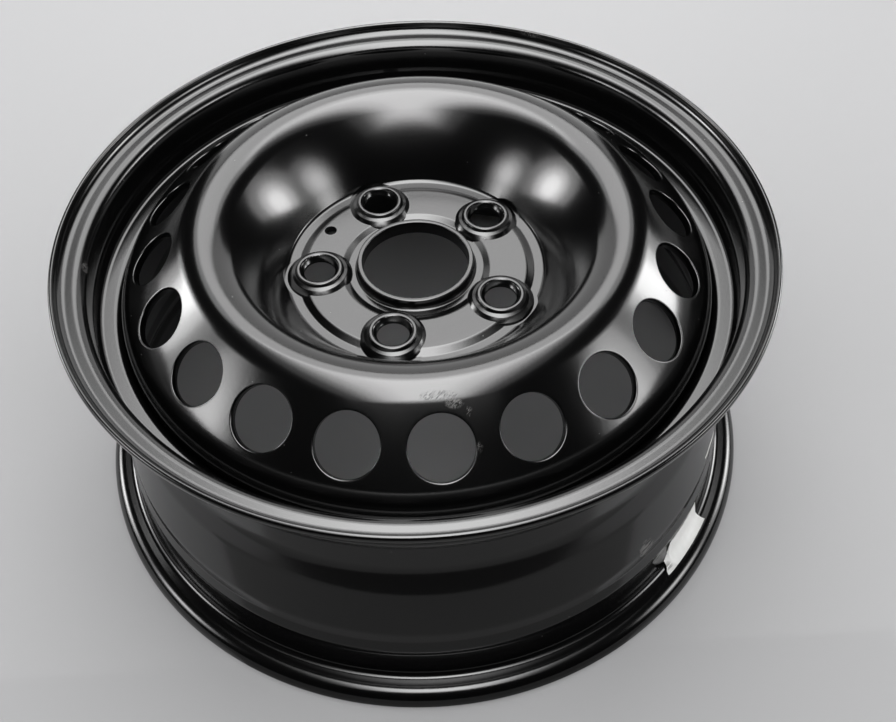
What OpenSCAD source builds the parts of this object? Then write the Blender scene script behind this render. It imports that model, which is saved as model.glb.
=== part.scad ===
// Pressed-steel road wheel with five bolt holes, painted black. Millimetres and degrees.
// It lies on its inboard lip with the outboard face up: the wheel's axis is Z and z = 0 is the floor.
// A sheet is a path of corners [radius, height, bend] along one face, and its metal lies to the right of it.

/* [Rim] */
// Bead seat diameter where the seat meets the flange (nominal 17 inch)
seat_d = 436.6; // [424:0.1:450]
// Width between the two flange faces (7 inch)
rim_w = 177.8; // [165:0.1:203]
// Height of the flanges above the bead seat
flange_h = 17.3; // [16:0.1:18]
// Reach of each lip past its flange face
lip_w = 11.5; // [10.5:0.1:13]
// Bend of the flange curl, on the tyre side
curl_bend = 9.5; // [8:0.1:10.3]
// Thickness of the rim sheet
rim_t = 3.2; // [2.6:0.1:4]
// Bend between bead seat and flange, on the tyre side
seat_bend = 5; // [4:0.1:6.5]
// Taper of the bead seats
seat_taper = 5; // [4:0.5:6]
// Rise of the safety humps above the tapered seat
hump_h = 2; // [1.2:0.1:2.6]
// Outboard flange face to its hump
hump_out = 23.8; // [21:0.1:26]
// Inboard flange face to its hump
hump_in = 28.5; // [26:0.1:31]
// Half the foot of a hump
hump_foot = 7; // [6:0.1:8]
// Outboard flange face to the ledge above the well
ledge_in = 34.8; // [33:0.1:38]
// How far the ledge's outer corner lies below the bead seat, and the ledge's slope
ledge_drop = 3.3; // [3:0.1:4]
ledge_slope = 4; // [2:0.5:8]
// Depth of the well floor below the bead seat
well_depth = 17.3; // [15:0.1:21]
// Width of the well floor
well_w = 45; // [40:0.5:50]
// Height and depth of the steep ramp out of the well
ramp_h = 15.5; // [13:0.1:18]
ramp_r = 6.5; // [5:0.1:7.5]
// Inboard flange face to the end of the gentle ramp
ramp_end = 46; // [43:0.5:50]
// How far the barrel beside the inboard hump lies below the bead seat
barrel_drop = 2.6; // [2.2:0.1:3.2]
// Diameter of the valve hole
valve_d = 11.3; // [10.5:0.1:12]
// Vents counted on from the first bolt hole to the valve hole
valve_step = 3; // [0:1:19]

/* [Disc] */
// Inset of the mounting face from the rim's middle, towards outboard
offset = 55; // [47:0.5:60]
// Thickness of the disc sheet
disc_t = 5.2; // [4.6:0.1:5.6]
// Top of the crest above the mounting face
crest_h = 56.2; // [50:0.1:62]
// Radial distance from the skirt's outer face in to the crest
crest_in = 58.5; // [57:0.1:61]
// Bends of the crest, towards the hub and towards the rim
crest_bend_in = 28; // [20:0.5:32]
crest_bend_out = 21.7; // [18:0.1:23]
// Slope of the vented cone
cone_slope = 40.3; // [38:0.1:42]
// Bend between cone and skirt
shoulder_bend = 25; // [22:0.5:26]
// How far the skirt reaches past the mounting face, towards inboard
skirt_drop = 27.9; // [22:0.1:32]
// Half the curve of the bowl's wall, from its foot to the crest
wall_bow = 3; // [2:0.5:6]

/* [Hub] */
// Centre bore
bore_d = 71.6; // [64:0.1:74.1]
// Wall and height of the collar round the bore
collar_t = 3.4; // [2.8:0.1:4]
collar_h = 12.8; // [11:0.1:16]
// Bend at the collar's foot
collar_bend = 2.4; // [2:0.1:3.5]
// Width of the inner contact ring
contact_w = 4; // [3:0.1:6]
// Width of each step between a contact ring and the land
step_w = 5; // [4.6:0.1:6]
// Rise of the land above the contact rings
land_rise = 2; // [1.2:0.1:2.4]
// Bolt circle to the start of the outer contact ring, and to the bowl's wall
drop_out = 15; // [13:0.1:17]
wall_out = 22; // [21:0.1:24]
// Locating hole, and its distance from the axis
locator_d = 8.6; // [6:0.1:10]
locator_r = 69.3; // [66:0.1:71]

/* [Bolts] */
// Bolt circle diameter
pcd = 130; // [127:0.1:136]
// Number of bolt holes
bolt_n = 5; // [4:1:5]
// Direction of the first bolt hole, as the wheel lies
bolt_az = 39.05; // [0:0.05:72]
// Bolt hole
bolt_hole_d = 21; // [18:0.1:22]
// Radius of the ball seat, and the radius of its mouth
ball_r = 14; // [13:0.1:15]
mouth_r = 12.5; // [12.1:0.1:12.9]
// Top of the boss above the mounting face
boss_h = 12.3; // [11.6:0.1:14]
// Radius of the boss at its foot
boss_r = 22.4; // [21:0.1:23]
// Radius cleared round each boss in the foot of the bowl's wall
clear_r = 24.5; // [23.5:0.1:26]

/* [Vents] */
// Number of vent holes
vent_n = 20; // [5:5:20]
// Diameter of a vent hole
vent_d = 38.8; // [30:0.1:42]
// How far the holes lie down the cone from the middle of its straight part
vent_drop = 1.6; // [0:0.1:3]

/* [Welds] */
// Number of weld beads between skirt and well
weld_n = 8; // [4:1:12]
// Length of a bead
weld_len = 58; // [40:1:70]
// Legs of a bead, on the skirt's end and on the well
weld_w = 4.2; // [3:0.1:4.5]
weld_h = 5.5; // [4:0.1:7]

/* [Label] */
// Direction of the label's middle
label_az = -37.5; // [-180:0.5:180]
// Length round the rim
label_len = 50; // [30:1:80]
// Reach up the bead seat from the flange face, and out over the flange
label_up = 19.5; // [15:0.1:20]
label_out = 7.7; // [7:0.1:7.8]
// Bend where it bridges the corner
label_bend = 8; // [7:0.1:8.2]
// Thickness of the paper
label_t = 0.3; // [0.2:0.05:0.5]

/* [Hidden] */
$fn = 180;
// Finest steps of a bend: by angle, and by length along the face
bend_angle = 7.5;
bend_length = 6;
// Bends of the rim: feet of the humps, tops of the humps, ledge, both sides of the well, ramp, barrel
foot_bend = 12;
hump_bend_out = 10;
hump_bend_in = 8;
ledge_bend = 7.5;
well_bend_out = 3;
well_bend_in = 25;
ramp_bend = 30;
barrel_bend = 20;
// Straight stretch between the barrel's last corner and the foot of the inboard hump
barrel_gap = 1.5;
// The valve hole lies this far in from the middle of the ledge
valve_in = 0.6;
// Bends of the disc: foot and head of a step, foot of the bowl's wall
step_foot_bend = 3;
step_head_bend = 6;
wall_foot_bend = 4;
// Bends of a boss: its terraces, and the lip of its seat
terrace_bend = 1.2;
lip_bend = 0.8;
// Height at which a boss is rooted in the sheet, and metal left inside it for the cutters
boss_root = 3;
boss_core = 2;
// Rounding of sheared sheet edges and of the collar's rim
cut_edge = 0.4;
collar_edge = 0.8;
// How far a cutter passes the metal
past = 15;

seat_r = seat_d / 2;
flange_r = seat_r + flange_h;
z_in = lip_w;
z_out = lip_w + rim_w;
well_r = seat_r - well_depth;
skirt_r = well_r - rim_t;
z_face = z_in + rim_w / 2 + offset;
z_top = z_face + disc_t;
z_land = z_top + land_rise;
z_crest = z_face + crest_h;
z_skirt = z_face - skirt_drop;
bolt_r = pcd / 2;
bore_r = bore_d / 2;
collar_r = bore_r + collar_t;
vent_step = 360 / vent_n;
bolt_step = 360 / bolt_n;

// Radius of the tapered seats at a distance from their flange face
function seat_at(d) = seat_r - d * tan(seat_taper);

function unit(v) = v / norm(v);
function left(v) = [-v[1], v[0]];
function turned(v, a) = [v[0] * cos(a) - v[1] * sin(a), v[0] * sin(a) + v[1] * cos(a)];
function flat(p) = [p[0], p[1]];
function turn_of(u, w) = atan2(u[0] * w[1] - u[1] * w[0], u * w);

// Pairs [point, normal to the left] round corner b of the path a, b, c
function bend_at(a, b, c) =
    let (u = unit(flat(b) - flat(a)), w = unit(flat(c) - flat(b)), turn = turn_of(u, w))
    let (side = sign(turn), start = flat(b) - u * b[2] * tan(abs(turn) / 2))
    let (centre = start + side * b[2] * left(u), arc = b[2] * abs(turn) * PI / 180)
    let (steps = max(1, ceil(abs(turn) / bend_angle), ceil(arc / bend_length)))
    [for (i = [0:steps]) let (n = turned(left(u), turn * i / steps)) [centre - side * b[2] * n, n]];

// The whole path: its first point, its bends and its last point
function followed(path) =
    let (k = len(path) - 1)
    concat(
        [[flat(path[0]), left(unit(flat(path[1]) - flat(path[0])))]],
        [for (i = [1:k - 1]) each bend_at(path[i - 1], path[i], path[i + 1])],
        [[flat(path[k]), left(unit(flat(path[k]) - flat(path[k - 1])))]]
    );

// Points round one corner of a cut edge, from direction a to direction b
function edge_round(centre, e, a, b) = [for (i = [0:4]) centre + e * unit(a * cos(i * 22.5) + b * sin(i * 22.5))];

// Outline of a sheet of thickness t whose two ends are rounded by the edge e
function sheet(path, t, e) =
    let (line = followed(path), k = len(line) - 1)
    let (p = line[0][0], n = line[0][1], ahead = [n[1], -n[0]])
    let (q = line[k][0], m = line[k][1], on = [m[1], -m[0]])
    concat(
        edge_round(p - n * (t - e) + ahead * e, e, -n, -ahead),
        edge_round(p - n * e + ahead * e, e, -ahead, n),
        [for (i = [1:k - 1]) line[i][0]],
        edge_round(q - m * e - on * e, e, m, on),
        edge_round(q - m * (t - e) - on * e, e, on, -m),
        [for (i = [k - 1:-1:1]) line[i][0] - line[i][1] * t]
    );

module around(n, first = 0) {
    for (i = [0:n - 1]) rotate([0, 0, first + i * 360 / n]) children();
}

// Rim: one rolled sheet from lip to lip, drawn along its tyre side

ledge_r = seat_r - ledge_drop;
ledge_z = z_out - ledge_in;
well_z = ledge_z - (ledge_r - well_r) * tan(ledge_slope);
well_low = well_z - well_w;

function outboard_seat() = [
    [flange_r, z_out + lip_w],
    [flange_r, z_out, curl_bend],
    [seat_r, z_out, seat_bend],
    [seat_at(hump_out - hump_foot), z_out - hump_out + hump_foot, foot_bend],
    [seat_at(hump_out) + hump_h, z_out - hump_out, hump_bend_out],
    [ledge_r, ledge_z, ledge_bend]
];
function well() = [
    [well_r, well_z, well_bend_out],
    [well_r, well_low, well_bend_in],
    [well_r + ramp_r, well_low - ramp_h, ramp_bend],
    [seat_r - barrel_drop, z_in + ramp_end, barrel_bend]
];
function inboard_seat() = [
    [seat_r - barrel_drop, z_in + hump_in + hump_foot + barrel_gap, hump_bend_in],
    [seat_at(hump_in) + hump_h, z_in + hump_in, hump_bend_in],
    [seat_at(hump_in - hump_foot), z_in + hump_in - hump_foot, foot_bend],
    [seat_r, z_in, seat_bend],
    [flange_r, z_in, curl_bend],
    [flange_r, 0]
];

module valve_hole() {
    r = (ledge_r + well_r) / 2 - valve_in;
    z = ledge_z - (ledge_r - r) * tan(ledge_slope);
    rotate([0, 0, bolt_az + valve_step * vent_step]) translate([r, 0, z])
        rotate([0, -ledge_slope, 0]) cylinder(d = valve_d, h = 2 * past, center = true);
}

module rim() {
    color([0.07, 0.07, 0.075]) difference() {
        rotate_extrude() polygon(sheet(concat(outboard_seat(), well(), inboard_seat()), rim_t, rim_t / 2));
        valve_hole();
    }
}

// Disc: one drawn sheet from the hub's collar to the skirt, drawn along its outboard face

crest_r = skirt_r - crest_in;
wall_r = bolt_r + wall_out;

// The wall is an arc whose chord runs from its foot to the crest: its steepness there sets the crest's inner corner
function wall_top(c) = atan2(z_crest - z_top, c - wall_r) + wall_bow;
function corner_for(c, tries) =
    tries == 0 ? c : corner_for(crest_r - crest_bend_in * tan(wall_top(c) / 2), tries - 1);

crest_corner_in = corner_for(crest_r - crest_bend_in / 2, 6);
crest_corner_out = crest_r + crest_bend_out * tan(cone_slope / 2);
shoulder_z = z_crest - (skirt_r - crest_corner_out) * tan(cone_slope);

function wall_knee() =
    let (c = [crest_corner_in, z_crest] - [wall_r, z_top], half = norm(c) / 2)
    [wall_r, z_top] + unit(c) * half - left(unit(c)) * half * tan(wall_bow);
function wall_bend() =
    let (c = [crest_corner_in, z_crest] - [wall_r, z_top])
    (norm(c) / 2 / cos(wall_bow) - (crest_r - crest_corner_in) - 0.5) / tan(wall_bow);

function hub_path() = [
    [collar_r, z_face + collar_h],
    [collar_r, z_top, collar_bend],
    [collar_r + collar_bend + contact_w, z_top, step_foot_bend],
    [collar_r + collar_bend + contact_w + step_w, z_land, step_head_bend],
    [bolt_r + drop_out - step_w, z_land, step_head_bend],
    [bolt_r + drop_out, z_top, step_foot_bend],
    [wall_r, z_top, wall_foot_bend]
];
function crest_path() = [
    [wall_knee()[0], wall_knee()[1], wall_bend()],
    [crest_corner_in, z_crest, crest_bend_in],
    [crest_corner_out, z_crest, crest_bend_out],
    [skirt_r, shoulder_z, shoulder_bend],
    [skirt_r, z_skirt]
];

// Corners of a boss from its foot to the mouth of its seat
function boss_path() = [
    [boss_r, boss_root],
    [boss_r - 0.5, boss_h - 5.9, terrace_bend],
    [boss_r - 3.6, boss_h - 3, terrace_bend],
    [boss_r - 6.1, boss_h - 2.3, lip_bend],
    [mouth_r + 2.9, boss_h, terrace_bend],
    [mouth_r + 1, boss_h, lip_bend],
    [mouth_r - 0.4, boss_h - 0.9]
];

module boss() {
    outline = [for (s = followed(boss_path())) s[0]];
    inside = bolt_hole_d / 2 - boss_core;
    rotate_extrude() polygon(concat([[inside, boss_root]], outline, [[inside, boss_h - 0.9]]));
}

module bolt_cut() {
    seat_z = boss_h - 0.5 + sqrt(ball_r * ball_r - mouth_r * mouth_r);
    recess_h = disc_t + land_rise - 0.2;
    translate([0, 0, seat_z]) sphere(r = ball_r);
    cylinder(d = bolt_hole_d, h = 2 * past, center = true);
    translate([0, 0, -3]) cylinder(r1 = mouth_r + 10, r2 = mouth_r + 0.5, h = recess_h + 3);
}

module boss_clearance() {
    difference() {
        translate([bolt_r, 0, 0]) cylinder(r = clear_r, h = past);
        cylinder(r = bolt_r + drop_out, h = 3 * past, center = true);
    }
}

module vent() {
    flat_in = crest_r + crest_bend_out * sin(cone_slope);
    flat_out = skirt_r - shoulder_bend * tan((90 - cone_slope) / 2) * cos(cone_slope);
    r = (flat_in + flat_out) / 2 + vent_drop * cos(cone_slope);
    translate([r, 0, z_crest - (r - crest_corner_out) * tan(cone_slope)])
        rotate([0, cone_slope, 0]) cylinder(d = vent_d, h = 2 * past, center = true);
}

module disc() {
    color([0.09, 0.09, 0.095]) difference() {
        union() {
            difference() {
                rotate_extrude() polygon(sheet(concat(hub_path(), crest_path()), disc_t, cut_edge));
                translate([0, 0, z_top]) around(bolt_n, bolt_az) boss_clearance();
            }
            translate([0, 0, z_face]) around(bolt_n, bolt_az) translate([bolt_r, 0, 0]) boss();
        }
        translate([0, 0, z_face - past]) cylinder(r = bore_r, h = 3 * past);
        translate([0, 0, z_face + collar_h - collar_edge])
            cylinder(r1 = bore_r, r2 = bore_r + 2 * collar_edge, h = 2 * collar_edge);
        translate([0, 0, z_face]) around(bolt_n, bolt_az) translate([bolt_r, 0, 0]) bolt_cut();
        around(vent_n, bolt_az) vent();
        rotate([0, 0, bolt_az + 1.5 * bolt_step]) translate([locator_r, 0, z_face])
            cylinder(d = locator_d, h = 2 * past, center = true);
    }
}

// Welds: fillets between the skirt's end and the well

module weld_beads() {
    arc = weld_len / skirt_r * 180 / PI;
    bead = [
        [skirt_r, z_skirt],
        [skirt_r - weld_w, z_skirt],
        [skirt_r - weld_w * 0.87, z_skirt - weld_h * 0.45],
        [skirt_r - weld_w * 0.5, z_skirt - weld_h * 0.85],
        [skirt_r, z_skirt - weld_h]
    ];
    color([0.11, 0.11, 0.11]) around(weld_n) rotate_extrude(angle = arc) polygon(bead);
}

// Label: a torn scrap of paper that bridges the corner of the inboard seat and its flange

function label_path() = [
    [seat_at(label_up), z_in + label_up],
    [seat_r, z_in, label_bend],
    [seat_r + label_out, z_in]
];

module label() {
    line = followed(label_path());
    arc = label_len / seat_r * 180 / PI;
    strip = concat([for (s = line) s[0]], [for (i = [len(line) - 1:-1:0]) line[i][0] + line[i][1] * label_t]);
    color([0.92, 0.92, 0.9]) rotate([0, 0, label_az - arc / 2]) rotate_extrude(angle = arc) polygon(strip);
}

rim();
disc();
weld_beads();
label();
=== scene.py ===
import math
import random

import bpy
from mathutils import Matrix, Vector


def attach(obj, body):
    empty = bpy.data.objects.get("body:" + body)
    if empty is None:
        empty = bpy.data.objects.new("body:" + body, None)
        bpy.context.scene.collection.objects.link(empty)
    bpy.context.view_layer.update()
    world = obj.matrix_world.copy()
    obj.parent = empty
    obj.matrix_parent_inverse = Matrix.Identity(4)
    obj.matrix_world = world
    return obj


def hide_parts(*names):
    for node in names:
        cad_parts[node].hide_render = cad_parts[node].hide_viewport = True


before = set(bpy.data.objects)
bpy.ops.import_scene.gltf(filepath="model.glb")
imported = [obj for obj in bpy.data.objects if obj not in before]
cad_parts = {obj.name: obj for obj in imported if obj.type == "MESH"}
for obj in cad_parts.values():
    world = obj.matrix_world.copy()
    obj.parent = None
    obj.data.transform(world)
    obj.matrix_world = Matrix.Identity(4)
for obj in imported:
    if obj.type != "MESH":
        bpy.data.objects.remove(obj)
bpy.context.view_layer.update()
print("frame loaded:", sorted(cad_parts))

mm = 0.001  # lengths below are in millimetres, Blender's are in metres
mergeDistance = 1e-6  # metres
edgeSteps = 4  # points round a quarter of a sheet's edge, less one


# Sheet metal: a path of corners (radius, height, bend) along one face, with the metal to its right

def turned(v, angle):
    c, s = math.cos(angle), math.sin(angle)
    return Vector((v.x * c - v.y * s, v.x * s + v.y * c))


def leftOf(v):
    return Vector((-v.y, v.x))


def followPath(corners, bendAngle, bendLength):
    # Points and normals along the path; a bend has steps no wider or longer than the two limits
    points = [Vector(c[:2]) for c in corners]
    ways = [(b - a).normalized() for a, b in zip(points, points[1:])]
    line = [(points[0], leftOf(ways[0]))]
    for corner, point, before, after in zip(corners[1:-1], points[1:-1], ways, ways[1:]):
        turn = math.atan2(before.x * after.y - before.y * after.x, before.dot(after))
        side = math.copysign(1, turn)
        centre = point - before * corner[2] * math.tan(abs(turn) / 2) + leftOf(before) * side * corner[2]
        steps = max(1, math.ceil(abs(turn) / bendAngle), math.ceil(corner[2] * abs(turn) / bendLength))
        for i in range(steps + 1):
            normal = turned(leftOf(before), turn * i / steps)
            line.append((centre - normal * side * corner[2], normal))
    line.append((points[-1], leftOf(ways[-1])))
    return line


def quarterTurn(steps):
    return [math.pi / 2 * i / steps for i in range(steps + 1)]


def edgeRound(centre, radius, first, last):
    return [centre + (first * math.cos(a) + last * math.sin(a)) * radius for a in quarterTurn(edgeSteps)]


def sheetOutline(corners, thickness, firstEdge, lastEdge, bendAngle=math.radians(5), bendLength=3.0):
    # The closed outline: first edge, face, last edge and the other face back
    line = followPath(corners, bendAngle, bendLength)
    (p, n), (q, m) = line[0], line[-1]
    ahead, on = Vector((n.y, -n.x)), Vector((m.y, -m.x))
    e, f = firstEdge, lastEdge
    outline = edgeRound(p - n * (thickness - e) + ahead * e, e, -n, -ahead)
    outline += edgeRound(p - n * e + ahead * e, e, -ahead, n)
    outline += [point for point, normal in line[1:-1]]
    outline += edgeRound(q - m * f - on * f, f, m, on)
    outline += edgeRound(q - m * (thickness - f) - on * f, f, on, -m)
    outline += [point - normal * thickness for point, normal in reversed(line[1:-1])]
    return outline


# Modelling steps that several pieces share

def freshStart():
    bpy.ops.object.select_all(action="DESELECT")


def activate(piece):
    freshStart()
    piece.select_set(True)
    bpy.context.view_layer.objects.active = piece


def spinOutline(name, outline, steps, angle=2 * math.pi):
    # A circle is added with a point for each of the outline's, set on them and spun about the axis
    freshStart()
    bpy.ops.mesh.primitive_circle_add(vertices=len(outline), radius=0.1)
    piece = bpy.context.object
    piece.name = name
    for vertex, point in zip(piece.data.vertices, outline):
        vertex.co = (point[0] * mm, 0, point[1] * mm)
    bpy.ops.object.mode_set(mode="EDIT")
    bpy.ops.mesh.select_all(action="SELECT")
    bpy.ops.mesh.spin(steps=steps, angle=angle, center=(0, 0, 0), axis=(0, 0, 1))
    bpy.ops.mesh.select_all(action="SELECT")
    bpy.ops.mesh.remove_doubles(threshold=mergeDistance)
    bpy.ops.mesh.normals_make_consistent(inside=False)
    bpy.ops.object.mode_set(mode="OBJECT")
    return piece


def copiesAround(piece, angles, name):
    made = []
    for angle in angles:
        one = piece.copy()
        one.data = piece.data.copy()
        one.data.transform(Matrix.Rotation(angle, 4, "Z"))
        bpy.context.collection.objects.link(one)
        made.append(one)
    bpy.data.objects.remove(piece)
    activate(made[0])
    for one in made:
        one.select_set(True)
    bpy.ops.object.join()
    made[0].name = name
    return made[0]


def cutWith(piece, tool, operation="DIFFERENCE"):
    cut = piece.modifiers.new("cut", "BOOLEAN")
    cut.operation = operation
    cut.solver = "EXACT"
    cut.object = tool
    activate(piece)
    bpy.ops.object.modifier_apply(modifier=cut.name)
    bpy.data.objects.remove(tool)


def cylinder(sides, radius, depth):
    freshStart()
    bpy.ops.mesh.primitive_cylinder_add(vertices=sides, radius=radius * mm, depth=depth * mm)
    return bpy.context.object


def smooth(piece, degrees=32):
    activate(piece)
    bpy.ops.object.shade_smooth_by_angle(angle=math.radians(degrees))


def moveMesh(piece, x, z):
    piece.data.transform(Matrix.Translation((x * mm, 0, z * mm)))


# Rim

rimSizes = {
    "seatRadius": 218.3, "flangeHeight": 17.3, "lipReach": 11.5, "width": 177.8, "sheet": 3.2,
    "curl": 9.5, "seatBend": 5, "taper": math.radians(5), "hump": 2.0, "humpOut": 23.8, "humpIn": 28.5,
    "humpFoot": 7, "humpFootBend": 12, "humpOutBend": 10, "humpInBend": 8, "ledgeIn": 34.8, "ledgeInset": 3.3,
    "ledgeSlope": math.radians(4), "ledgeBend": 7.5, "wellDepth": 17.3, "wellWidth": 45, "wellTopBend": 3,
    "wellLowBend": 25, "rampHeight": 15.5, "rampDepth": 6.5, "rampBend": 30, "rampEnd": 46, "rampEndBend": 20,
    "barrelDrop": 2.6, "barrelGap": 1.5, "valveHole": 5.65, "valveInset": 0.6,
    "valveAngle": math.radians(93.05), "drillSides": 48, "drillDepth": 30, "steps": 288,
}


def rimCorners(s):
    low, high = s["lipReach"], s["lipReach"] + s["width"]
    seat, flange = s["seatRadius"], s["seatRadius"] + s["flangeHeight"]
    well = seat - s["wellDepth"]
    ledgeRadius, ledgeHeight = seat - s["ledgeInset"], high - s["ledgeIn"]
    wellTop = ledgeHeight - (ledgeRadius - well) * math.tan(s["ledgeSlope"])
    wellLow = wellTop - s["wellWidth"]

    def seatAt(depth):
        return seat - depth * math.tan(s["taper"])

    return [
        (flange, high + s["lipReach"]),
        (flange, high, s["curl"]),
        (seat, high, s["seatBend"]),
        (seatAt(s["humpOut"] - s["humpFoot"]), high - s["humpOut"] + s["humpFoot"], s["humpFootBend"]),
        (seatAt(s["humpOut"]) + s["hump"], high - s["humpOut"], s["humpOutBend"]),
        (ledgeRadius, ledgeHeight, s["ledgeBend"]),
        (well, wellTop, s["wellTopBend"]),
        (well, wellLow, s["wellLowBend"]),
        (well + s["rampDepth"], wellLow - s["rampHeight"], s["rampBend"]),
        (seat - s["barrelDrop"], low + s["rampEnd"], s["rampEndBend"]),
        (seat - s["barrelDrop"], low + s["humpIn"] + s["humpFoot"] + s["barrelGap"], s["humpInBend"]),
        (seatAt(s["humpIn"]) + s["hump"], low + s["humpIn"], s["humpInBend"]),
        (seatAt(s["humpIn"] - s["humpFoot"]), low + s["humpIn"] - s["humpFoot"], s["humpFootBend"]),
        (seat, low, s["seatBend"]),
        (flange, low, s["curl"]),
        (flange, 0),
    ]


def makeRim(s):
    corners = rimCorners(s)
    outline = sheetOutline(corners, s["sheet"], s["sheet"] / 2, s["sheet"] / 2)
    rim = spinOutline("rim_shell", outline, s["steps"])
    ledge, well = corners[5], corners[6]
    radius = (ledge[0] + well[0]) / 2 - s["valveInset"]
    height = ledge[1] - (ledge[0] - radius) * math.tan(s["ledgeSlope"])
    drill = cylinder(s["drillSides"], s["valveHole"], s["drillDepth"])
    drill.data.transform(Matrix.Rotation(-s["ledgeSlope"], 4, "Y"))
    moveMesh(drill, radius, height)
    drill.data.transform(Matrix.Rotation(s["valveAngle"], 4, "Z"))
    cutWith(rim, drill)
    smooth(rim)
    return rim


# Disc

discSizes = {
    "skirtRadius": 197.8, "face": 155.4, "sheet": 5.2, "crestHeight": 56.2, "crestIn": 58.5,
    "crestBendIn": 28, "crestBendOut": 21.7, "coneSlope": math.radians(40.3), "shoulderBend": 25,
    "skirtDrop": 27.9, "wallBulge": math.radians(6), "boreRadius": 35.8, "collarWall": 3.4,
    "collarHeight": 12.8, "collarBend": 2.4, "contactWidth": 4, "stepWidth": 5, "landRise": 2,
    "contactBend": 3, "landBend": 6, "wallFootBend": 4, "crestGap": 0.5, "collarEdge": 0.8, "skirtEdge": 0.4,
    "dropOut": 15, "wallOut": 22, "boltRadius": 65, "bolts": 5, "firstBolt": math.radians(39.05),
    "locatorRadius": 69.3, "locatorHole": 4.3, "locatorSides": 40, "clearRadius": 24.5, "clearDepth": 15,
    "coreDepth": 60, "drillDepth": 30, "steps": 288,
}
bossSizes = {
    "foot": 22.4, "height": 12.3, "mouth": 12.5, "ball": 14, "hole": 10.5, "base": 3, "wall": 2, "steps": 96,
    "skirtLean": 0.5, "skirtDrop": 5.9, "shelfIn": 3.6, "shelfDrop": 3, "neckIn": 6.1, "neckDrop": 2.3,
    "rimOut": 2.9, "rimIn": 1, "mouthLap": 0.4, "mouthDrop": 0.9, "bend": 1.2, "tightBend": 0.8,
}
boltCutSizes = {
    "seatSink": 0.5, "skin": 0.2, "below": 6, "above": 10, "pocketGap": 0.5, "pocketFlare": 0.95,
    "axis": 0.01, "arcSteps": 16, "steps": 96,
}
ventSizes = {
    "count": 20, "radius": 19.4, "drop": 1.6, "roll": 0.9, "lap": 0.35, "lapLift": 0.02, "rollGap": 0.1,
    "rollLift": 0.005, "rollSteps": 8, "insideHeight": 0.25, "insideReach": 0.2, "cutDepth": 30, "steps": 96,
}


def discShape(s):
    # Radii and heights that follow from the sizes; the wall's slope and the crest's corner are solved in turn
    top, crest = s["face"] + s["sheet"], s["face"] + s["crestHeight"]
    crestRadius, wallRadius = s["skirtRadius"] - s["crestIn"], s["boltRadius"] + s["wallOut"]
    cornerIn = crestRadius - s["crestBendIn"] / 2
    for _ in range(6):
        steepness = math.atan2(crest - top, cornerIn - wallRadius) - s["wallBulge"]
        cornerIn = crestRadius - s["crestBendIn"] * math.tan(steepness / 2)
    cornerOut = crestRadius + s["crestBendOut"] * math.tan(s["coneSlope"] / 2)
    return {
        "top": top, "crest": crest, "crestRadius": crestRadius, "wallRadius": wallRadius,
        "cornerIn": cornerIn, "cornerOut": cornerOut, "land": top + s["landRise"],
        "collar": s["boreRadius"] + s["collarWall"],
        "shoulder": crest - (s["skirtRadius"] - cornerOut) * math.tan(s["coneSlope"]),
    }


def discCorners(s, d):
    foot, head = Vector((d["wallRadius"], d["top"])), Vector((d["cornerIn"], d["crest"]))
    half, way = (head - foot).length / 2, (head - foot).normalized()
    knee = foot + way * half + leftOf(way) * half * math.tan(s["wallBulge"])
    crestReach = d["crestRadius"] - d["cornerIn"] + s["crestGap"]
    kneeBend = (half / math.cos(s["wallBulge"]) - crestReach) / math.tan(s["wallBulge"])
    stepStart = d["collar"] + s["collarBend"] + s["contactWidth"]
    landEnd = s["boltRadius"] + s["dropOut"]
    return [
        (d["collar"], s["face"] + s["collarHeight"]),
        (d["collar"], d["top"], s["collarBend"]),
        (stepStart, d["top"], s["contactBend"]),
        (stepStart + s["stepWidth"], d["land"], s["landBend"]),
        (landEnd - s["stepWidth"], d["land"], s["landBend"]),
        (landEnd, d["top"], s["contactBend"]),
        (d["wallRadius"], d["top"], s["wallFootBend"]),
        (knee.x, knee.y, kneeBend),
        (d["cornerIn"], d["crest"], s["crestBendIn"]),
        (d["cornerOut"], d["crest"], s["crestBendOut"]),
        (s["skirtRadius"], d["shoulder"], s["shoulderBend"]),
        (s["skirtRadius"], s["face"] - s["skirtDrop"]),
    ]


def reamedToBore(outline, s, d):
    # The collar is thinned to the bore from inside, and its rim stays rounded
    shift = s["boreRadius"] - (d["collar"] - s["sheet"])
    rim = [Vector((point.x + shift, point.y)) for point in outline[:edgeSteps + 1]]
    return rim + [Vector((max(point.x, s["boreRadius"]), point.y)) for point in outline[edgeSteps + 1:]]


def boltAngles(s):
    return [s["firstBolt"] + 2 * math.pi * i / s["bolts"] for i in range(s["bolts"])]


def makeBosses(s, b):
    foot, top, mouth = b["foot"], b["height"], b["mouth"]
    corners = [
        (foot, b["base"]),
        (foot - b["skirtLean"], top - b["skirtDrop"], b["bend"]),
        (foot - b["shelfIn"], top - b["shelfDrop"], b["bend"]),
        (foot - b["neckIn"], top - b["neckDrop"], b["tightBend"]),
        (mouth + b["rimOut"], top, b["bend"]),
        (mouth + b["rimIn"], top, b["tightBend"]),
        (mouth - b["mouthLap"], top - b["mouthDrop"]),
    ]
    line = [point for point, normal in followPath(corners, bendAngle=math.radians(12), bendLength=1.0)]
    inside = b["hole"] - b["wall"]
    outline = [Vector((inside, b["base"]))] + line + [Vector((inside, top - b["mouthDrop"]))]
    boss = spinOutline("boss", outline, b["steps"])
    moveMesh(boss, s["boltRadius"], s["face"])
    return copiesAround(boss, boltAngles(s), "bosses")


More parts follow.
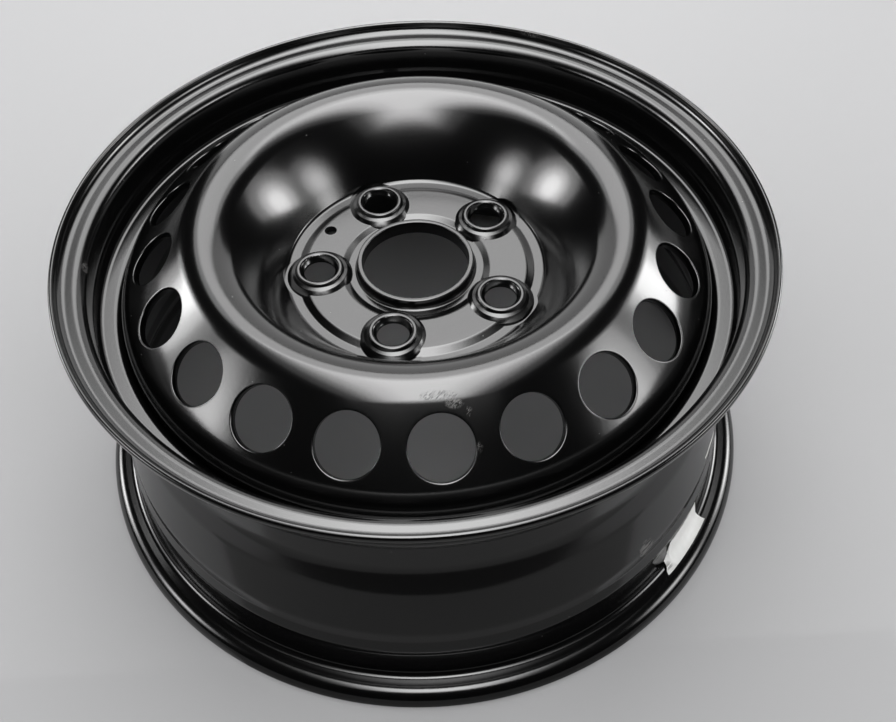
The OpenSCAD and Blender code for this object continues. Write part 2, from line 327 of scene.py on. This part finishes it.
def makeBoltCutters(s, b, c):
    # Ball seat and hole from above, and below the sheet a flared pocket that clears the boss
    seat = b["height"] - c["seatSink"] + math.sqrt(b["ball"] ** 2 - b["mouth"] ** 2)
    ceiling = s["sheet"] + s["landRise"] - c["skin"]
    low = math.asin(b["hole"] / b["ball"])
    arc = [Vector((b["ball"] * math.sin(a), seat - b["ball"] * math.cos(a)))
           for a in (low + (math.pi / 2 - low) * i / c["arcSteps"] for i in range(c["arcSteps"] + 1))]
    pocket = b["mouth"] + c["pocketGap"]
    outline = [
        Vector((c["axis"], -c["below"])),
        Vector((pocket + (ceiling + c["below"]) * c["pocketFlare"], -c["below"])),
        Vector((pocket, ceiling)),
        Vector((b["hole"], ceiling)),
    ]
    outline += arc + [Vector((b["ball"], seat + c["above"])), Vector((c["axis"], seat + c["above"]))]
    cutter = spinOutline("boltCutter", outline, c["steps"])
    moveMesh(cutter, s["boltRadius"], s["face"])
    return copiesAround(cutter, boltAngles(s), "boltCutters")


def ventPlace(s, d, v):
    # Middle of a vent on the cone's outer face
    slope = s["coneSlope"]
    flatIn = d["crestRadius"] + s["crestBendOut"] * math.sin(slope)
    flatOut = s["skirtRadius"] - s["shoulderBend"] * math.tan((math.pi / 2 - slope) / 2) * math.cos(slope)
    r = (flatIn + flatOut) / 2 + v["drop"] * math.cos(slope)
    z = d["crest"] - (r - d["cornerOut"]) * math.tan(slope)
    return Vector((r, 0, z))


def ventAngles(s, v):
    return [s["firstBolt"] + 2 * math.pi * i / v["count"] for i in range(v["count"])]


def makeVentCutters(s, d, v):
    middle = ventPlace(s, d, v)
    cutter = cylinder(v["steps"], v["radius"] + v["roll"], v["cutDepth"])
    cutter.data.transform(Matrix.Rotation(s["coneSlope"], 4, "Y"))
    moveMesh(cutter, middle.x, middle.z)
    return copiesAround(cutter, ventAngles(s, v), "ventCutters")


def makeVentEdges(s, d, v):
    # The punched edge of a vent: rolled over outside, straight through, crisp inside. It is spun flat,
    # then each point is lifted so that it lies as far from the cone as it did from the flat.
    middle = ventPlace(s, d, v)
    r, roll, wall = v["radius"], v["roll"], s["sheet"]
    outer = r + roll
    outline = [Vector((outer + v["lap"], v["lapLift"])), Vector((outer + v["rollGap"], v["rollLift"]))]
    outline += [Vector((outer - roll * math.sin(a), -roll + roll * math.cos(a)))
                for a in quarterTurn(v["rollSteps"])]
    outline += [
        Vector((r, -wall + v["insideHeight"])),
        Vector((r + v["insideReach"], -wall)),
        Vector((outer + v["lap"], -wall - v["lapLift"])),
    ]
    ring = spinOutline("ventEdge", outline, v["steps"])
    slope = s["coneSlope"]
    down = Vector((math.cos(slope), 0, -math.sin(slope)))
    out = Vector((math.sin(slope), 0, math.cos(slope)))
    for vertex in ring.data.vertices:
        x, y, h = vertex.co.x / mm, vertex.co.y / mm, vertex.co.z / mm
        lift = h
        for _ in range(4):
            reach = math.hypot(middle.x + x * math.cos(slope) + lift * math.sin(slope), y)
            fall = -x * math.sin(slope) + lift * math.cos(slope)
            lift += h - ((reach - middle.x) * math.sin(slope) + fall * math.cos(slope))
        vertex.co = (middle + down * x + Vector((0, y, 0)) + out * lift) * mm
    smooth(ring, 40)
    return copiesAround(ring, ventAngles(s, v), "vent_edges")


def makeDisc(s, b, c, v):
    d = discShape(s)
    outline = sheetOutline(discCorners(s, d), s["sheet"], s["collarEdge"], s["skirtEdge"])
    disc = spinOutline("disc_shell", reamedToBore(outline, s, d), s["steps"])
    print("disc spun:", len(disc.data.vertices), "vertices")
    clearance = cylinder(b["steps"], s["clearRadius"], s["clearDepth"])
    moveMesh(clearance, s["boltRadius"], d["top"] + s["clearDepth"] / 2)
    core = cylinder(s["steps"], s["boltRadius"] + s["dropOut"], s["coreDepth"])
    moveMesh(core, 0, d["top"])
    cutWith(clearance, core)
    cutWith(disc, copiesAround(clearance, boltAngles(s), "clearances"))
    cutWith(disc, makeBosses(s, b), "UNION")
    cutWith(disc, makeBoltCutters(s, b, c))
    locator = cylinder(s["locatorSides"], s["locatorHole"], s["drillDepth"])
    moveMesh(locator, s["locatorRadius"], s["face"])
    locator.data.transform(Matrix.Rotation(s["firstBolt"] + 3 * math.pi / s["bolts"], 4, "Z"))
    cutWith(disc, locator)
    cutWith(disc, makeVentCutters(s, d, v))
    smooth(disc)
    print("disc cut:", len(disc.data.vertices), "vertices")
    return disc, makeVentEdges(s, d, v)


# Weld beads between the skirt's end and the well

weldSizes = {
    "count": 8, "length": 58, "onSkirt": 4.2, "onWell": 5.5, "sink": 0.3, "faceSteps": 8, "steps": 80,
    "endTaper": 12, "endHeight": 0.25, "wave": 0.06, "waves": 70, "uneven": 0.12, "ripple": 0.25, "seed": 4,
}


def makeWelds(s, w):
    r, z = s["skirtRadius"], s["face"] - s["skirtDrop"]
    sink, steps = w["sink"], w["steps"]
    face = [Vector((r - w["onSkirt"] * math.cos(a), z - w["onWell"] * math.sin(a)))
            for a in quarterTurn(w["faceSteps"])]
    outline = [Vector((r + sink, z + sink)), Vector((r - w["onSkirt"], z + sink))]
    outline += face[1:] + [Vector((r + sink, z - w["onWell"]))]
    arc = w["length"] / r
    bead = spinOutline("weldBead", outline, steps, arc)
    rng = random.Random(w["seed"])
    middle = Vector((r, z))
    ripples = [rng.uniform(-1, 1) * w["ripple"] for _ in range(steps + 1)]
    for vertex in bead.data.vertices:
        angle = math.atan2(vertex.co.y, vertex.co.x) % (2 * math.pi)
        along = min(1, max(0, angle / arc))
        radius = math.hypot(vertex.co.x, vertex.co.y) / mm
        height = vertex.co.z / mm
        taper = min(1, along * w["endTaper"] + w["endHeight"], (1 - along) * w["endTaper"] + w["endHeight"])
        wave = 1 + (w["wave"] * math.sin(along * w["waves"]) + w["uneven"] * ripples[round(along * steps)])
        offset = (Vector((radius, height)) - middle) * taper * wave
        if height > z - 0.01 or radius > r:
            offset = Vector((radius, height)) - middle
        new = middle + offset
        vertex.co = (new.x * mm * math.cos(angle), new.x * mm * math.sin(angle), new.y * mm)
    activate(bead)
    bpy.ops.object.mode_set(mode="EDIT")
    bpy.ops.mesh.select_all(action="DESELECT")
    bpy.ops.mesh.select_non_manifold()
    bpy.ops.mesh.edge_face_add()
    bpy.ops.mesh.select_all(action="SELECT")
    bpy.ops.mesh.normals_make_consistent(inside=False)
    bpy.ops.object.mode_set(mode="OBJECT")
    smooth(bead, 50)
    return copiesAround(bead, [2 * math.pi * i / w["count"] for i in range(w["count"])], "weld_bead_runs")


# Label: the scrap of paper left on the inboard seat, ripped off at its left end and creased there; the crease
# is darkened with painted shade

labelSizes = {  # millimetres across, degrees round the wheel
    "corners": [(216.59, 31), (218.3, 11.5, 8), (225.4, 11.5)], "lift": 0.02, "thickness": 0.28,
    "rightTop": -32.0, "rightLow": -31.0, "leftTop": -42.3, "leftLow": -44.9,
    "tearDepth": 0.5, "tearStep": 0.45, "tearKeep": 0.72, "creaseAt": -42.6, "creaseLean": 0.5,
    "creaseHeight": 0.5, "creaseWidth": 0.35, "curl": 1.1, "curlFrom": -43.1, "curlPower": 1.5,
    "ripple": 0.06, "rippleAlong": 4, "rippleAcross": 5, "rows": 36, "columns": 150, "seed": 11,
}


def pointAlong(line, share):
    # Point and normal at a share of the path's length
    lengths = [(b[0] - a[0]).length for a, b in zip(line, line[1:])]
    left = share * sum(lengths)
    for (a, n), (b, m), length in zip(line, line[1:], lengths):
        if left <= length:
            return a.lerp(b, left / length), n.lerp(m, left / length).normalized()
        left -= length
    return line[-1]


def makeLabel(s):
    line = followPath(s["corners"], bendAngle=math.radians(3), bendLength=0.5)
    rng = random.Random(s["seed"])
    tear = [0.0]
    for _ in range(s["rows"]):
        tear.append(s["tearKeep"] * tear[-1] + rng.uniform(-s["tearStep"], s["tearStep"]))
    freshStart()
    bpy.ops.mesh.primitive_grid_add(x_subdivisions=s["columns"], y_subdivisions=s["rows"], size=2)
    scrap = bpy.context.object
    scrap.name = "label_scrap"
    for vertex in scrap.data.vertices:
        across = (1 - vertex.co.y) / 2
        along = (vertex.co.x + 1) / 2
        right = s["rightTop"] + (s["rightLow"] - s["rightTop"]) * across
        left = s["leftTop"] + (s["leftLow"] - s["leftTop"]) * across
        left -= s["tearDepth"] * tear[round(across * s["rows"])]
        azimuth = left + (right - left) * along
        point, normal = pointAlong(line, across)
        fromCrease = (azimuth - s["creaseAt"] - s["creaseLean"] * across) / s["creaseWidth"]
        crease = s["creaseHeight"] * math.exp(-fromCrease ** 2)
        curled = max(0, (s["curlFrom"] - azimuth) / (s["curlFrom"] - s["leftLow"]))
        curl = s["curl"] * curled ** s["curlPower"] * across
        ripple = s["ripple"] * math.sin(azimuth * s["rippleAlong"] + across * s["rippleAcross"]) + s["ripple"]
        point = point + normal * (s["lift"] + crease + curl + ripple)
        a = math.radians(azimuth)
        vertex.co = (point.x * math.cos(a) * mm, point.x * math.sin(a) * mm, point.y * mm)
    thick = scrap.modifiers.new("paper", "SOLIDIFY")
    thick.thickness = s["thickness"] * mm
    thick.offset = 1
    activate(scrap)
    bpy.ops.object.modifier_apply(modifier=thick.name)
    smooth(scrap, 40)
    return scrap


# Finishes

class Wire:  # a socket that takes arithmetic
    def __init__(self, finish, socket):
        self.finish = finish
        self.socket = socket

    def sum(self, operation, first, second):
        return self.finish.node("ShaderNodeMath", {"operation": operation}, {0: first, 1: second})

    def below(self, limit):
        return self.sum("LESS_THAN", self, limit)

    def above(self, limit):
        return self.sum("GREATER_THAN", self, limit)

    def atMost(self, limit):
        return self.sum("MINIMUM", self, limit)

    def __add__(self, other):
        return self.sum("ADD", self, other)

    def __radd__(self, other):
        return self.sum("ADD", other, self)

    def __sub__(self, other):
        return self.sum("SUBTRACT", self, other)

    def __rsub__(self, other):
        return self.sum("SUBTRACT", other, self)

    def __mul__(self, other):
        return self.sum("MULTIPLY", self, other)

    def __rmul__(self, other):
        return self.sum("MULTIPLY", other, self)


class Finish:  # a material, the way to add its nodes and the few that are used often
    def __init__(self, name):
        self.material = bpy.data.materials.new(name)
        self.material.use_nodes = True
        self.tree = self.material.node_tree
        self.shader = self.tree.nodes["Principled BSDF"]

    def plug(self, socket, value):
        if isinstance(value, Wire):
            self.tree.links.new(value.socket, socket)
        else:
            socket.default_value = value

    def node(self, kind, settings=None, inputs=None, output=0):
        made = self.tree.nodes.new(kind)
        for key, value in (settings or {}).items():
            if key == "stops":
                for element, (position, level) in zip(made.color_ramp.elements, value):
                    element.position = position
                    element.color = (level, level, level, 1)
            else:
                setattr(made, key, value)
        for key, value in (inputs or {}).items():
            self.plug(made.inputs[key], value)
        return Wire(self, made.outputs[output])

    def where(self):
        return self.node("ShaderNodeTexCoord", output=3)  # object coordinates

    def noise(self, vector, scale, detail, roughness):
        inputs = {"Vector": vector, "Scale": scale, "Detail": detail, "Roughness": roughness}
        return self.node("ShaderNodeTexNoise", {}, inputs)

    def vectorMath(self, operation, first, second):
        return self.node("ShaderNodeVectorMath", {"operation": operation}, {0: first, 1: second})

    def blend(self, mask, first, second):
        return self.node("ShaderNodeMix", {"data_type": "RGBA"}, {0: mask, 6: first, 7: second}, output=2)

    def ramp(self, value, stops):
        return self.node("ShaderNodeValToRGB", {"stops": stops}, {"Fac": value})

    def bump(self, height, strength, distance):
        inputs = {"Strength": strength, "Distance": distance * mm, "Height": height}
        return self.node("ShaderNodeBump", {}, inputs)

    def set(self, **values):
        for key, value in values.items():
            self.plug(self.shader.inputs[key.replace("_", " ")], value)


paintSettings = {
    "colour": (0.003, 0.003, 0.0031, 1), "bare": (0.2, 0.195, 0.19, 1), "roughness": 0.155,
    "roughnessSpread": 0.04, "worn": 0.35, "cloud": (16, 6, 0.6), "peel": (420, 3, 0.5), "peelHeight": 0.012,
    "dustScale": 150, "dustSize": 0.055, "dustShare": 0.22, "dustPale": 0.45,
}
strokeSettings = {
    "slant": 0.85, "size": (0.004, 0.0006, 0.0012), "detail": 4, "roughness": 0.65,
    "fadeFrom": 0.35, "fadeTo": 1.0, "threshold": 1.04, "softness": 0.07,
}
discWear = [  # place, reach along each axis, stroke scale, how much is marked and how pale the marks are
    {"place": (9, -149.5, 209), "reach": (14, 4, 4), "grain": 1.0, "amount": 0.55, "pale": 0.0},
    {"place": (17.5, -153, 206), "reach": (6, 3.6, 4), "grain": 1.2, "amount": 0.56, "pale": 0.7},
    {"place": (25.5, -156.5, 202), "reach": (2.4, 4, 3), "grain": 1.4, "amount": 0.49, "pale": 0.6},
    {"place": (30.5, -171.5, 188.5), "reach": (2, 4, 3), "grain": 1.8, "amount": 0.48, "pale": 1.4},
]
rimWear = [
    {"place": (-215.5, -12.5, 188), "reach": (3.5, 5.5, 4), "grain": 1.4, "amount": 0.56, "pale": 0.6},
    {"place": (100, 211, 199), "reach": (12, 7, 3), "grain": 1.6, "amount": 0.5, "pale": 1.2},
    {"place": (139, -165, 59.5), "reach": (9, 9, 9), "grain": 0.5, "amount": 0.58, "pale": 0.8},
]
glueStrand = {  # azimuths in degrees, lengths in millimetres
    "from": -27.8, "to": -20.8, "middle": -24.3, "height": 60.5, "slope": -22.6, "wave": 0.35, "waves": 70,
    "width": 0.9, "outside": 150, "colour": (0.9, 0.9, 0.86, 1),
}


def scratchAndShadePatch(f, where, w, s=strokeSettings):
    # Scratches on the paint, and painted shade in the label's crease, inside an ellipsoid round a place,
    # fading towards its surface
    centre = tuple(c * mm for c in w["place"])
    scale = tuple(1 / (r * mm) for r in w["reach"])
    offset = f.vectorMath("SUBTRACT", where, centre)
    inside = f.vectorMath("MULTIPLY", offset, scale)
    away = f.node("ShaderNodeVectorMath", {"operation": "LENGTH"}, {0: inside}, output=1)
    slanted = {0: offset, 2: (0, 0, s["slant"]), 3: s["size"]}
    stretched = f.node("ShaderNodeMapping", {"vector_type": "TEXTURE"}, slanted)
    strokes = f.noise(stretched, w["grain"], s["detail"], s["roughness"])
    fade = f.ramp(away, [(s["fadeFrom"], 1), (s["fadeTo"], 0)])
    low = s["threshold"] - w["amount"]
    return fade * f.ramp(strokes, [(low, 0), (low + s["softness"], 1)])


def strandMask(f, where, g):
    # A thin strand of glue that runs round the barrel
    x, y, z = (f.node("ShaderNodeSeparateXYZ", {}, {0: where}, output=i) for i in range(3))
    azimuth = f.node("ShaderNodeMath", {"operation": "ARCTAN2"}, {0: y, 1: x})
    wave = f.node("ShaderNodeMath", {"operation": "SINE"}, {0: azimuth * g["waves"]})
    line = (azimuth - math.radians(g["middle"])) * (g["slope"] * mm) + g["height"] * mm
    line = line + wave * (g["wave"] * mm)
    off = f.node("ShaderNodeMath", {"operation": "ABSOLUTE"}, {0: z - line})
    between = azimuth.above(math.radians(g["from"])) * azimuth.below(math.radians(g["to"]))
    return off.below(g["width"] * mm) * between * x.above(g["outside"] * mm)


def paintFinish(name, p, wearAndShade=(), strand=None):
    f = Finish(name)
    where = f.where()
    cloud = f.noise(where, *p["cloud"])
    peel = f.noise(where, *p["peel"])
    cells = {"Vector": where, "Scale": p["dustScale"]}
    speck = f.node("ShaderNodeTexVoronoi", {}, cells)
    chance = f.node("ShaderNodeTexVoronoi", {}, cells, output=1)
    rough = speck.below(p["dustSize"]) * chance.below(p["dustShare"])
    bare = rough * p["dustPale"]
    for patch in wearAndShade:
        marks = scratchAndShadePatch(f, where, patch)
        bare = bare + marks * patch["pale"]
        rough = rough + marks
    colour = f.blend(bare.atMost(1.0), p["colour"], p["bare"])
    if strand:
        colour = f.blend(strandMask(f, where, strand), colour, strand["colour"])
    smoothest = p["roughness"] - p["roughnessSpread"] / 2
    worn = rough.atMost(1.0) * p["worn"]
    f.set(Base_Color=colour, Roughness=cloud * p["roughnessSpread"] + smoothest + worn)
    f.set(Normal=f.bump(peel, 1.0, p["peelHeight"]))
    return f.material


paperSettings = {
    "light": (0.96, 0.96, 0.95, 1), "dark": (0.88, 0.88, 0.86, 1), "torn": (0.4, 0.4, 0.39, 1),
    "roughness": 0.7, "fibre": (900, 4, 0.6), "bumpStrength": 0.5, "bumpHeight": 0.05,
}
# Painted shade: a grey patch where the label's left end curls and creases, standing in for the shade in the
# fold
paperCreaseShade = {"place": (161, -152.5, 13), "reach": (4, 4, 5), "grain": 0.35, "amount": 0.6}


def paperFinish(name, p, wearAndShade):
    f = Finish(name)
    where = f.where()
    fibre = f.noise(where, *p["fibre"])
    tint = f.blend(fibre, p["dark"], p["light"])
    # The grey blended in here is painted shade in the label's crease
    f.set(Base_Color=f.blend(scratchAndShadePatch(f, where, wearAndShade), tint, p["torn"]), Roughness=p["roughness"])
    f.set(Normal=f.bump(fibre, p["bumpStrength"], p["bumpHeight"]))
    return f.material


def dress(piece, material, slot, *nodes):
    piece.data.materials.clear()
    piece.data.materials.append(material)
    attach(piece, "root")
    if nodes:
        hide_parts(*nodes)


rimPaint = paintFinish("satin black, rim", paintSettings, rimWear, glueStrand)
discPaint = paintFinish("satin black, disc", paintSettings, discWear)
weldPaint = paintFinish("satin black, welds", paintSettings)
paper = paperFinish("label paper", paperSettings, paperCreaseShade)

dress(makeRim(rimSizes), rimPaint, "rim_paint", "rim")
print("rim made")
discShell, ventEdges = makeDisc(discSizes, bossSizes, boltCutSizes, ventSizes)
dress(discShell, discPaint, "disc_paint", "disc")
dress(ventEdges, discPaint, "disc_paint")
print("disc made")
dress(makeWelds(discSizes, weldSizes), weldPaint, "weld_paint", "weld_beads")
dress(makeLabel(labelSizes), paper, "label_paper", "label")
print("welds and label made")


# Camera: where the photograph was taken from

cameraSettings = {
    "place": (0, -557.656, 727.861), "pitch": 0.7905405, "yaw": 0.0175514, "roll": -0.0398247,
    "focal": 1171.178, "frameWidth": 896, "offAxis": (-17.904, -99.130), "sensor": 36, "clip": (0.01, 50),
}


def addCamera(c):
    cp, sp = math.cos(c["pitch"]), math.sin(c["pitch"])
    cy, sy = math.cos(c["yaw"]), math.sin(c["yaw"])
    cr, sr = math.cos(c["roll"]), math.sin(c["roll"])
    ahead = Vector((sy * cp, cy * cp, -sp))
    right = Vector((cy, -sy, 0))
    up = right.cross(ahead)
    right, up = right * cr + up * sr, up * cr - right * sr
    data = bpy.data.cameras.new("camera")
    camera = bpy.data.objects.new("camera", data)
    bpy.context.collection.objects.link(camera)
    turn = Matrix((right, up, -ahead)).transposed().to_4x4()
    camera.matrix_world = Matrix.Translation(Vector(c["place"]) * mm) @ turn
    data.sensor_width = c["sensor"]
    data.lens = c["focal"] * data.sensor_width / c["frameWidth"]
    data.shift_x = -c["offAxis"][0] / c["frameWidth"]
    data.shift_y = c["offAxis"][1] / c["frameWidth"]
    data.clip_start, data.clip_end = c["clip"]
    bpy.context.scene.camera = camera


addCamera(cameraSettings)


# Studio

studio = {
    "floor": (0.6, 0.6, 0.61, 1), "floorSize": 12, "floorRoughness": 0.8, "world": 0.02, "layerGap": 0.002,
    # Softboxes are what the paint mirrors: place, facing, shape, and layers of size and level laid
    # over one another, which makes their edges soft
    "softboxes": [
        ("top", (0, -0.11, 1.05), (0, 0, -1), "RECTANGLE",
         [(0.22, 1.04, 3), (0.4, 1.16, 4.5), (0.56, 1.26, 4), (0.72, 1.36, 2.3), (1.0, 1.44, 0.8)]),
        ("topBack", (0, 0.8, 1.06), (0, 0, -1), "RECTANGLE", [(0.7, 0.6, 3.2), (1.1, 0.64, 3)]),
        ("backWall", (0, 1.2, 0.52), (0, -1, 0), "RECTANGLE", [(1.3, 1.05, 1.6)]),
        ("leftFront", (-1.2, -0.32, 0.64), (1, 0, 0), "ELLIPSE",
         [(0.24, 0.24, 5), (0.44, 0.42, 5), (0.72, 0.62, 2.4)]),
        ("leftBack", (-1.2, 0.4, 0.54), (1, 0, 0), "ELLIPSE",
         [(0.28, 0.28, 8), (0.5, 0.46, 7), (0.84, 0.7, 3.4)]),
        ("rightFront", (1.05, -0.32, 0.62), (-1, 0, 0), "ELLIPSE",
         [(0.24, 0.22, 4), (0.44, 0.4, 5), (0.7, 0.6, 2.4)]),
        ("rightBack", (1.05, 0.29, 0.47), (-1, 0, 0), "ELLIPSE",
         [(0.26, 0.26, 8), (0.48, 0.44, 6), (0.8, 0.68, 3)]),
    ],
    # Fills light the pale surfaces only: place, facing, size and level
    "fills": [
        ("fillTop", (0, 0, 1.3), (0, 0, -1), (1.2, 1.6), 0.55),
        ("fillFront", (0, -1.5, 2.1), (0, 0.6, -0.8), (3, 1.2), 1.15),
        ("fillBack", (0, 2.2, 1.1), (0, -0.85, -0.4), (3, 1.2), 3.25),
        ("fillLeft", (-2.2, 0, 1.1), (0.85, 0, -0.4), (3, 1.2), 3.05),
        ("fillRight", (2.2, 0, 1.1), (-0.85, 0, -0.4), (3, 1.2), 3.05),
    ],
    # Cards on the floor in front, which only the paint sees: near and far edge, half width and tone. The grey
    # card is painted shadow: a darker floor for the paint to mirror next to the wheel, where the floor lies
    # in the wheel's shade
    "cards": [("darkCard", -3, -0.38, 3, 0.01), ("paintedShadowCard", -0.38, -0.2, 0.3, 0.3)],
    "cardHeight": 0.001, "cardRoughness": 0.9,
}


def addLamp(name, place, facing, size, shape, level, mirrored):
    # A lamp of a plain level as seen: in the paint's mirror when mirrored, otherwise in pale surfaces only
    data = bpy.data.lights.new(name, "AREA")
    data.shape = shape
    data.size, data.size_y = size
    area = size[0] * size[1] * (math.pi / 4 if shape == "ELLIPSE" else 1)
    data.energy = level * math.pi * area
    lamp = bpy.data.objects.new(name, data)
    bpy.context.collection.objects.link(lamp)
    lamp.location = place
    lamp.rotation_euler = Vector(facing).to_track_quat("-Z", "Y").to_euler()
    lamp.visible_camera = False
    lamp.visible_glossy = mirrored
    lamp.visible_diffuse = not mirrored


def addFloor(s):
    freshStart()
    bpy.ops.mesh.primitive_plane_add(size=s["floorSize"])
    floor = bpy.context.object
    floor.name = "floor"
    f = Finish("floor")
    f.set(Base_Color=s["floor"], Roughness=s["floorRoughness"])
    floor.data.materials.append(f.material)


def addCard(s, name, near, far, halfWidth, tone):
    freshStart()
    bpy.ops.mesh.primitive_plane_add(size=2)
    card = bpy.context.object
    card.name = name
    for vertex in card.data.vertices:
        y = near if vertex.co.y < 0 else far
        vertex.co = (math.copysign(halfWidth, vertex.co.x), y, s["cardHeight"])
    f = Finish(name)
    f.set(Base_Color=(tone, tone, tone, 1), Roughness=s["cardRoughness"])
    card.data.materials.append(f.material)
    card.visible_camera = card.visible_diffuse = card.visible_shadow = False


for name, place, facing, shape, layers in studio["softboxes"]:
    for i, (width, height, level) in enumerate(layers):
        behind = Vector(place) - Vector(facing) * studio["layerGap"] * i
        addLamp(name, behind, facing, (width, height), shape, level, mirrored=True)
for name, place, facing, size, level in studio["fills"]:
    addLamp(name, place, facing, size, "RECTANGLE", level, mirrored=False)
addFloor(studio)
for card in studio["cards"]:
    addCard(studio, *card)
world = bpy.data.worlds.new("studio")
bpy.context.scene.world = world
world.use_nodes = True
world.node_tree.nodes["Background"].inputs["Strength"].default_value = studio["world"]
bpy.context.scene.view_settings.view_transform = "Standard"
print("camera, floor and lamps set")
